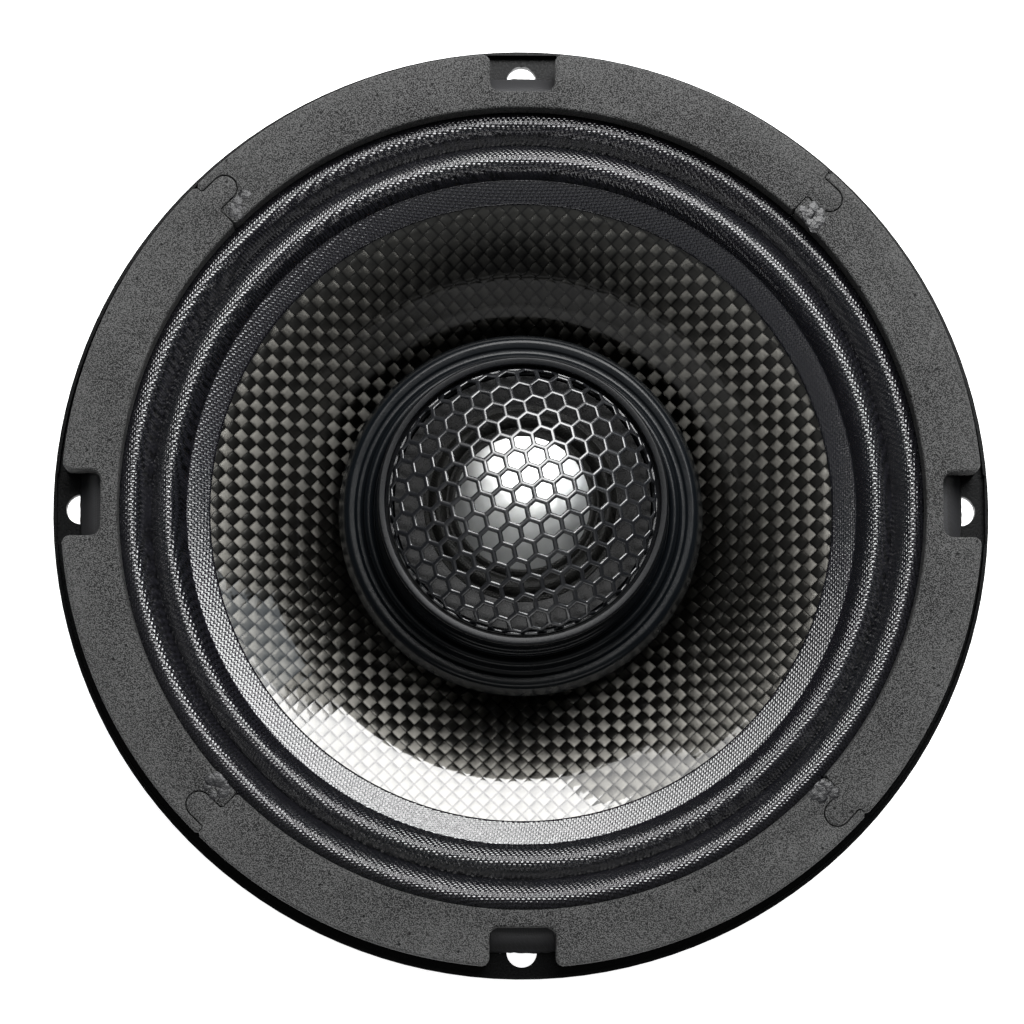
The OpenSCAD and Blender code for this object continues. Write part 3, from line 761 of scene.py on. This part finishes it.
def notch_outline(degrees, outer_r):
    """The notch round a mounting hole, from its low-angle side to its high-angle side."""
    half, inner_r, inner, outer = 5.75, 73.7, 1.8, 1.4
    edge = math.sqrt(outer_r ** 2 - (half + outer) ** 2)
    shape = arc(edge - outer, -half - outer, outer, 0, 90, 6)
    shape += arc(inner_r + inner, -half + inner, inner, 270, 180, 8)
    shape += arc(inner_r + inner, half - inner, inner, 180, 90, 8)
    shape += arc(edge - outer, half + outer, outer, 270, 360, 6)
    return [polar(0, degrees, x, y) for x, y in shape]


def strip_outline(k, inner_r, outer_r):
    """One foam strip seen from the front, clockwise: x, y and how soft its edge is."""
    start, end, middle = GASKET_JOINTS[k], GASKET_JOINTS[k + 1], 90 * k
    gap, corner, notch = 0.05, 0.55, 5.35
    inner = [polar(inner_r, a) for a in spaced(start + corner, end - corner, 100)]
    near = [polar(inner_r + 0.12, end - 0.25), polar(inner_r + 0.6, end - gap)]
    out = [*tongue(end, 0.12), polar(outer_r - 0.5, end - gap)]
    outer = [polar(outer_r, a) for a in spaced(end - 0.5, middle + notch, 40)]
    outer += reversed(notch_outline(middle, outer_r))
    outer += [polar(outer_r, a) for a in spaced(middle - notch, start + 0.5, 40)]
    back = [polar(outer_r - 0.5, start + gap), *reversed(tongue(start, 0)), polar(inner_r + 0.6, start + gap),
            polar(inner_r + 0.12, start + 0.25)]
    parts = [(inner, 1.0), (near + out, 0.25), (outer, 1.0), (back, 0.25)]
    return [(x, y, softness) for part, softness in parts for x, y in part]


def spaced(low, high, count):
    return [low + (high - low) * i / count for i in range(count + 1)]


def make_gasket_strip(k):
    """Foam strip with a soft front edge, made by stepping its outline inwards."""
    name = f"gasket_{GASKET_SIDES[k]}"
    inner_r, outer_r = radii(name)
    low, high = heights(name)
    outline = strip_outline(k, inner_r, outer_r)
    soft = 0.55
    rings = [(0, low), (0, high - soft)]
    rings += [(soft * (1 - math.cos(a)), high - soft + soft * math.sin(a))
              for a in [math.radians(90 * i / 5) for i in range(1, 6)]]
    points, faces = [], []
    for inset, z in rings:
        points += [(x, y, z) for x, y in inset_outline(outline, inset)]
    count = len(outline)
    for i in range(len(rings) - 1):
        for j in range(count):
            a, b = i * count + j, i * count + (j + 1) % count
            faces.append((a, b, b + count, a + count))
    faces.append(tuple(range(count - 1, -1, -1)))
    faces.append(tuple(range(count * (len(rings) - 1), count * len(rings))))
    piece = new_object(f"foam_{GASKET_SIDES[k]}", points, faces, "foam", FRONT)
    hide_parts(name)


def inset_outline(outline, distance):
    """The clockwise outline moved inwards, each point along its own normal."""
    result = []
    for i, (x, y, softness) in enumerate(outline):
        before = Vector(outline[i - 1][:2])
        after = Vector(outline[(i + 1) % len(outline)][:2])
        along = (after - before).normalized() * distance * softness
        result.append((x + along.y, y - along.x))
    return result


def make_gasket_glue():
    """Small lumps of set glue squeezed up beside each joint of the gasket."""
    draw = random.Random(7)
    _, top = heights("gasket_right")
    for side, joint in zip(GASKET_SIDES, GASKET_JOINTS):
        parts = []
        for _ in range(12):
            r = draw.uniform(71.3, 74.0)
            degrees = joint - draw.uniform(0.7, 4.0)
            x, y = polar(r, degrees)
            size = draw.uniform(0.6, 1.25)
            parts.append(blob((x, y, top - 0.07), size, size * draw.uniform(0.1, 0.16), draw.random()))
        points, faces = joined(parts)
        piece = new_object(f"gasket_glue_{side}", points, faces, "foam", FRONT, smooth_deg=80)
        piece.data.materials[0] = paints["set_glue"]


def blob(centre, radius, height, seed, rings=7, sides=14):
    """A lumpy drop lying on a face: its points and faces."""
    points, faces = [], []
    for i in range(rings + 1):
        lift = math.pi * i / rings
        for k in range(sides):
            a = TURN * k / sides
            way = Vector((math.sin(lift) * math.cos(a), math.sin(lift) * math.sin(a), math.cos(lift)))
            swell = 1 + 0.35 * noise.noise(way * 1.7 + Vector((seed * 40, 0, 0)))
            points.append((centre[0] + way.x * radius * swell, centre[1] + way.y * radius * swell,
                           centre[2] + way.z * height * swell))
    for i in range(rings):
        for k in range(sides):
            a, b = i * sides + k, i * sides + (k + 1) % sides
            faces.append((a, a + sides, b + sides, b))
    return points, faces


# ---- Surround, cone and spider ----

CREASES = [59.6, 65.3, 70.6]
VALLEY_Z = 3.5
LEDGE_Z = 6.5
CLOTH_T = 0.5
POCKET_HALF = 5.95
POCKET_R = 74.6
SPLIT_R = 73.4
FLAP_REACH = 3.95
CONE_NECK_R = 20
CONE_EDGE_R = 57.5
CONE_EDGE_Z = 2.6
NECK_SLOPE = math.tan(math.radians(41))
EDGE_SLOPE = math.tan(math.radians(17.5))


def cone_z(r):
    """Height of the cone's front face at radius r: its slope changes evenly from neck to edge."""
    d = r - CONE_NECK_R
    span = CONE_EDGE_R - CONE_NECK_R
    neck_z = CONE_EDGE_Z - span * (NECK_SLOPE + EDGE_SLOPE) / 2
    return neck_z + NECK_SLOPE * d + (EDGE_SLOPE - NECK_SLOPE) * d * d / (2 * span)


def roll(r0, r1, z0, z1, height, steps=22):
    """A half-round roll of cloth between two creases."""
    line = []
    for i in range(steps + 1):
        share = i / steps
        rise = height * math.sin(math.pi * share) ** 0.85
        line.append((r0 + (r1 - r0) * share, z0 + (z1 - z0) * share + rise))
    return line


def surround_line():
    """The cloth's lower face from the glued band, over both rolls, to the edge of the ledge."""
    glued = [(r, cone_z(r) + 0.32) for r in spaced(55.1, CREASES[0] - 0.9, 10)]
    line = glued + roll(CREASES[0] - 0.1, CREASES[1], VALLEY_Z, VALLEY_Z, 2.9)
    line += roll(CREASES[1], CREASES[2], VALLEY_Z, LEDGE_Z, 2.4)[1:]
    return line + [(r, LEDGE_Z) for r in spaced(71.2, 79.6, 14)]


def make_surround():
    """Doped cloth in two rolls, glued to the cone and the ledge, and cut off inside each pocket."""
    line = softened(surround_line(), 0.4, 2, closed=False)
    steps = 720
    draw = random.Random(3)
    fray = [draw.uniform(-0.3, 0.25) for _ in range(steps)]
    points, faces, kept = [], [], []
    for i in range(steps):
        a = TURN * i / steps
        across = min(abs(POCKET_R * math.sin(a)), abs(POCKET_R * math.cos(a)))
        in_pocket = across < POCKET_HALF
        for r, z in line:
            points.append(surround_point(a, r, z, in_pocket, fray[i]))
        kept.append(in_pocket)
    count = len(line)
    first_cut = next(j for j, p in enumerate(line) if p[0] > SPLIT_R)
    for i in range(steps):
        after = (i + 1) % steps
        for j in range(count - 1):
            if kept[i] != kept[after] and j >= first_cut:
                continue
            faces.append((i * count + j, after * count + j, after * count + j + 1, i * count + j + 1))
    piece = new_object("surround_cloth", points, faces, "doped_cloth", None)
    thicken(piece, CLOTH_T)
    blend_by_radius(piece, 58.8, 71)
    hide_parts("surround")


def surround_point(angle, r, z, in_pocket, fray):
    """A point of the cloth; the flap inside a pocket is shorter, frayed, and droops from its bend."""
    bend_r = POCKET_R - 1
    if in_pocket and r > bend_r:
        share = (r - bend_r) / 6
        r = bend_r + share * (FLAP_REACH + 0.4 * fray * share)
        z -= max(r - POCKET_R, 0) * 1.4 - 0.05 * noise.noise(Vector((angle * 60, r, 0)))
    return (r * math.cos(angle), r * math.sin(angle), z)


def thicken(piece, thickness):
    skin = piece.modifiers.new("thickness", "SOLIDIFY")
    skin.thickness = thickness * MM
    skin.offset = 1


def make_cone():
    """Woven cone in clear resin, with the faint unevenness of its moulding."""
    front = [(r, cone_z(r)) for r in spaced(CONE_NECK_R + 0.2, CONE_EDGE_R, 90)]
    back = [(r, z - 1) for r, z in reversed(front)]
    neck_z = cone_z(CONE_NECK_R)
    foot = [(CONE_NECK_R + 0.2, neck_z - 2), (19.45, neck_z - 2), (19.45, neck_z)]
    outline = front + back + foot

    def uneven(x, y, z):
        """Soft swells, and a faint ridge of resin just inside the glued band."""
        soft = noise.noise(Vector((x, y, 0)) / 9)
        ridge = 0.05 * math.exp(-((math.hypot(x, y) - 53.9) / 0.16) ** 2)
        return 0.035 * soft + ridge

    piece = lathe("woven_cone", outline, "carbon_weave", "cone_assembly", 360, wobble=uneven)
    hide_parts("cone")


def make_spider():
    """Five round corrugations between a flat foot on the former and a flat rim on the basket."""
    base, swing, first_r, last_r = -26.8, 1.1, 22, 45.4
    turns = math.radians(5 * 360)
    waves = [(r, base + swing * math.sin(turns * (r - first_r) / (last_r - first_r)))
             for r in spaced(first_r, last_r, 120)]
    line = [(19.75, base), *waves, (47.5, base), (49.8, base)]
    piece = lathe("spider_disc", softened(band(line, CLOTH_T), 0.2, 2), "spider_cloth", None, 240)
    blend_by_radius(piece, 21, 46.5)
    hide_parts("spider")


def tinsel_route(x):
    return [(x, -58.8, -19), (x, -58.6, -17.7), (x, -57.2, -16.7), (x, -54.5, -16.9), (x, -51, -18.2),
            (x, -47, -20.1), (x, -43, -21.6), (x, -39, -22.4), (x, -35, -22.6), (x, -31.6, -22.2),
            (x, -28.9, -20.9), (x, -27.4, -19.4), (x, -27, -17.5)]


def twisted(route, strands, radius, pitch):
    """Strands laid round a route, as rope is."""
    frames = carried_frames(route)
    parts = []
    for s in range(strands):
        travelled, line = 0, []
        for i, (place, (side, up)) in enumerate(zip(route, frames)):
            travelled += (place - route[i - 1]).length if i else 0
            a = TURN * (s / strands + travelled / pitch)
            line.append(place + radius * (math.cos(a) * side + math.sin(a) * up))
        parts.append(tube(line, radius * 1.02, 8))
    return joined(parts)


def make_tinsel_leads():
    parts = [twisted(smooth_route(tinsel_route(x), 9), 4, 0.38, 4.2) for x in (-8, 8)]
    points, faces = joined(parts)
    piece = new_object("tinsel_lead_pair", points, faces, "tinsel_braid", None, 70)
    set_blend(piece, lambda p: 1 - ease(-p.y, 28.5, 56))
    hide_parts("tinsel_leads")


# ---- Tweeter ----

def plinth_outline(foot_r, foot_z, top_z):
    outer = [(foot_r - 0.3, foot_z), (foot_r, foot_z + 0.3), (foot_r - 0.1, foot_z + 1),
             (foot_r - 0.8, foot_z + 3.7)]
    outer += arc(foot_r - 2.3, -0.9, 1.5, 0, 80, 8)
    outer += [(foot_r - 3, 0.5), (foot_r - 3.3, 0.1), (foot_r - 4, 0.1), (foot_r - 4.4, 0.5)]
    outer += arc(27.1, 1.1, 0.9, 20, 150, 8)
    outer += [(26.1, 0.9), (25.9, top_z)]
    return [(4.2, foot_z), *outer, (20.5, top_z), (20.5, foot_z + 1.5), (4.2, foot_z + 1.5)]


def make_plinth():
    foot_z, top_z = heights("tweeter_plinth")
    _, foot_r = radii("tweeter_plinth")
    piece = lathe("plinth_shell", plinth_outline(foot_r, foot_z, top_z), "plinth_plastic", soft=0.18)
    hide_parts("tweeter_plinth")


def make_housing():
    low, high = heights("tweeter_housing")
    outline = [(20.5, low), (25.8, low), (25.8, 3.2), (25.4, 3.4), (25.4, 4.6), (25, 4.8), (25, high),
               (24.2, high), (24.2, 12.2), (22.6, 12.2), (22.6, 9.4), (20.5, 9.4)]
    piece = lathe("housing_barrel", outline, "plinth_plastic", soft=0.2)
    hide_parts("tweeter_housing")


def make_grille_ring():
    low, high = heights("grille_ring")
    inner, outer = radii("grille_ring")
    outline = [(inner, low), (outer, low), (outer, high - 0.3), (outer - 0.25, high),
               (inner + 0.1, high - 0.1)]
    piece = lathe("grille_ring_trim", outline, "ring_paint", soft=0.14)
    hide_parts("grille_ring")


def make_faceplate():
    outline = [(14.2, 9.4), (22.4, 9.4), (22.4, 12.2), (17.4, 11.4), (14.2, 11.4)]
    piece = lathe("faceplate_ring", outline, "faceplate_plastic", soft=0.15)
    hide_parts("tweeter_faceplate")


def make_suspension():
    line = [(12.9, 11.4), *roll(13.4, 16.4, 11.4, 11.4, 1.5, 16), (17.3, 11.4)]
    piece = lathe("suspension_roll", softened(band(line, 0.3), 0.15, 2), "suspension_cloth", None, 192)
    blend_by_radius(piece, 13, 16.8)
    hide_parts("tweeter_suspension")


def make_dome_collar():
    """The dark bead of glue between the dome's edge and its suspension."""
    low, _ = heights("tweeter_dome")
    outline = [(11.65, low - 0.5), (12.9, low - 0.55), (12.95, low - 0.1), (12.3, low + 0.3),
               (11.8, low + 0.32)]
    lathe("dome_collar", outline, "suspension_cloth", "tweeter_diaphragm", 160, soft=0.12)


def make_dome():
    low, high = heights("tweeter_dome")
    _, edge_r = radii("tweeter_dome")
    height = high - low
    ball = (edge_r ** 2 + height ** 2) / (2 * height)
    centre = high - ball
    edge = math.degrees(math.asin(edge_r / ball))
    front = [(max(x, 0), y) for x, y in arc(0, centre, ball, 90, 90 - edge, 40)]
    back = [(max(x, 0), y) for x, y in arc(0, centre, ball - 0.3, 90 - edge, 90, 40)]
    piece = lathe("dome_foil", front + back, "bright_dome", "tweeter_diaphragm", 192)
    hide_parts("tweeter_dome")


# ---- Grille ----

MESH_PITCH = 3.65
STRAND = 0.9
MESH_T = 0.5
MESH_R = 23.4
KNUCKLE_R = 2.2
KNUCKLE_Z = 14.5
CROWN_R = 45
SKIRT = 1.9
SKIRT_FOOT_Z = 12.25
LATTICE_DEG = 12


def grille_profile():
    """Arc lengths of the crown and knuckle, and what places a point of the sheet."""
    knuckle_x = MESH_R - KNUCKLE_R
    crown_z = KNUCKLE_Z - math.sqrt((CROWN_R - KNUCKLE_R) ** 2 - knuckle_x ** 2)
    turn = math.asin(knuckle_x / (CROWN_R - KNUCKLE_R))
    crown = CROWN_R * turn
    knuckle = KNUCKLE_R * (math.pi / 2 - turn)

    def at(s, height):
        """Radius and height of the point at arc length s, standing out by height."""
        if s < crown:
            a = s / CROWN_R
            reach = CROWN_R + height
            return reach * math.sin(a), crown_z + reach * math.cos(a)
        if s < crown + knuckle:
            a = turn + (s - crown) / KNUCKLE_R
            reach = KNUCKLE_R + height
            return knuckle_x + reach * math.sin(a), KNUCKLE_Z + reach * math.cos(a)
        return MESH_R + height, KNUCKLE_Z - (s - crown - knuckle)

    return crown + knuckle, at


def hexagon(radius, corner, turned):
    """A hexagon as a list of points, six corners each rounded by the radius corner."""
    points = []
    for k in range(6):
        a = math.radians(turned + 60 * k)
        inner = radius - 2 * corner / math.sqrt(3)
        for d in (-30, -10, 10, 30):
            b = a + math.radians(d)
            points.append((inner * math.cos(a) + corner * math.cos(b),
                           inner * math.sin(a) + corner * math.sin(b)))
    return points


def make_grille_mesh():
    """Perforated sheet drawn into a dome: round-edged strands between hexagonal holes."""
    edge_s, at = grille_profile()
    last_s = edge_s + SKIRT
    outer = hexagon(MESH_PITCH / math.sqrt(3), 0.0001, 30)
    hole = hexagon((MESH_PITCH - STRAND) / math.sqrt(3), 0.28, 30)
    half = MESH_T / 2
    layers = [(0.0, half), (0.5, half), (0.85, half * 0.6), (1.0, 0), (0.85, -half * 0.6), (0.5, -half),
              (0.0, -half)]
    rows = math.ceil(last_s / MESH_PITCH) + 2
    points, faces = [], []
    for i in range(-rows, rows + 1):
        for j in range(-rows, rows + 1):
            x, y = MESH_PITCH * (i + j / 2), MESH_PITCH * j * math.sin(math.radians(60))
            if math.hypot(x, y) > last_s:
                continue
            start, count = len(points), len(hole)
            for share, height in layers:
                for (ox, oy), (hx, hy) in zip(outer, hole):
                    px, py = x + ox + (hx - ox) * share, y + oy + (hy - oy) * share
                    points.append(on_grille(px, py, height - half - 0.05, at))
            for layer in range(len(layers) - 1):
                for k in range(count):
                    a, b = start + layer * count + k, start + layer * count + (k + 1) % count
                    faces.append((a, b, b + count, a + count))
    piece = new_object("grille_net", points, faces, "black_mesh", FRONT, 50)
    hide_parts("grille_mesh")


def on_grille(x, y, height, at):
    """A point of the flat sheet, laid over the dome and down its skirt."""
    a = math.atan2(y, x) + math.radians(LATTICE_DEG)
    r, z = at(math.hypot(x, y), height)
    return (r * math.cos(a), r * math.sin(a), max(z, SKIRT_FOOT_Z))


def make_grille_rim():
    """The rim round the foot of the mesh, inside its ring."""
    outline = [(22.95, 12.2), (24.1, 12.2), (24.1, 12.7), (23.45, 12.9), (23.45, 13.6), (22.95, 13.6)]
    lathe("grille_rim", outline, "black_mesh", soft=0.1)


# ---- Wires, capacitor ----

def inner_route(side):
    route = [(3, -18.9, 9.2), (3, -18.9, 6.5), (3, -18.9, 4), (3, -18.2, 2.2), (2.8, -16.4, 1.3),
             (2.6, -14, 1.2), (2, -10, 1.2), (1.6, -6, 1.2), (1.4, -3, 1.1), (1.2, -1.2, 0.5),
             (1.2, -0.4, -0.8), (1.2, 0, -3), (1.2, 0, -12), (1.2, 0, -22), (1.2, 0, -32), (1.2, 0, -42),
             (1.2, 0, -52), (1.2, 0, -60), (1.2, -0.2, -63), (1.2, -0.9, -64.8), (1.4, -2.6, -65.8),
             (1.4, -6, -66), (1.4, -16, -66), (1.4, -26, -66), (1.4, -36, -66), (1.4, -46, -66),
             (1.4, -49.4, -65.7), (1.4, -51.1, -64.4), (1.4, -51.4, -62), (1.4, -51.4, -54),
             (1.4, -51.4, -46)]
    return [(side * x, y, z) for x, y, z in route]


def make_tweeter_leads():
    to_terminal = [(-1.6, -51.8, -42), (-2.2, -53.2, -39.2), (-3.2, -56.4, -37.8), (-4.4, -59.2, -37.6),
                   (-5.8, -60.4, -36.6), (-7.2, -60.3, -34.4), (-8, -60.1, -32), (-8, -60.1, -28)]
    to_capacitor = [(1.6, -51.9, -43), (3, -53, -40.6), (6, -54.4, -39.4), (10, -54.6, -38.8),
                    (15, -53.8, -38.4), (20, -52.6, -38), (25, -50.9, -37.8), (30, -49, -37.6),
                    (35, -46.4, -37), (39, -43.8, -35.8), (41.6, -42.4, -34), (42.4, -42.8, -32.2),
                    (41.8, -44, -31.2), (40.6, -45.2, -31)]
    points, faces = joined([tube(smooth_route(inner_route(-1) + to_terminal), 0.7),
                            tube(smooth_route(inner_route(1) + to_capacitor), 0.7)])
    piece = new_object("tweeter_lead_pair", points, faces, "dark_insulation", FRONT, 70)
    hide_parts("tweeter_leads")


def make_capacitor_lead():
    route = [(19.1, -57.6, -31), (17, -58.7, -31), (14, -59.6, -30.6), (11.5, -60, -30), (9.6, -60, -29.2),
             (8.4, -59.9, -28.2)]
    points, faces = tube(smooth_route(route), 0.5)
    piece = new_object("capacitor_wire", points, faces, "red_insulation", FRONT, 70)
    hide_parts("capacitor_lead")


# ---- CAD nodes that stay ----

REPLACED = ["gasket_right", "gasket_top", "gasket_left", "gasket_bottom", "surround", "cone", "spider",
            "tinsel_leads", "tweeter_plinth", "tweeter_housing", "grille_ring", "tweeter_faceplate",
            "tweeter_suspension", "tweeter_dome", "grille_mesh", "tweeter_leads", "capacitor_lead"]
BEVELS = {"basket": 0.35, "magnet_boot": 0.4, "terminal_board": 0.2, "top_plate": 0.3, "pole_yoke": 0.3,
          "ferrite_magnet": 0.5, "positive_terminal": 0.1, "negative_terminal": 0.1, "plate_screws": 0.2,
          "board_rivets": 0.3, "terminal_rivets": 0.2, "rear_nut": 0.3, "plinth_nut": 0.3}


def bevelled(piece, width):
    """Welds the CAD mesh's split corners and rounds its sharp edges."""
    weld = piece.modifiers.new("weld", "WELD")
    weld.merge_threshold = 0.004 * MM
    bevel = piece.modifiers.new("edges", "BEVEL")
    bevel.width = width * MM
    bevel.segments = 2
    bevel.limit_method = "ANGLE"
    bevel.angle_limit = math.radians(38)
    bevel.harden_normals = False


def dress_cad_nodes():
    """Every CAD node that shows gets its slot's material, and soft edges where they can be seen."""
    slots = {row["node"]: row["material_slot"] for row in frame["record"]["subparts"]}
    for name, piece in nodes.items():
        if name in REPLACED:
            continue
        piece.data.materials.clear()
        piece.data.materials.append(paints[slots[name]])
        if name in BEVELS:
            bevelled(piece, BEVELS[name])


make_camera()
make_floor()
make_lights()
paints = make_paints()

for strip in range(4):
    make_gasket_strip(strip)
make_gasket_glue()
make_surround()
make_cone()
make_spider()
make_tinsel_leads()
make_plinth()
make_housing()
make_grille_ring()
make_faceplate()
make_suspension()
make_dome()
make_dome_collar()
make_grille_mesh()
make_grille_rim()
make_tweeter_leads()
make_capacitor_lead()
dress_cad_nodes()
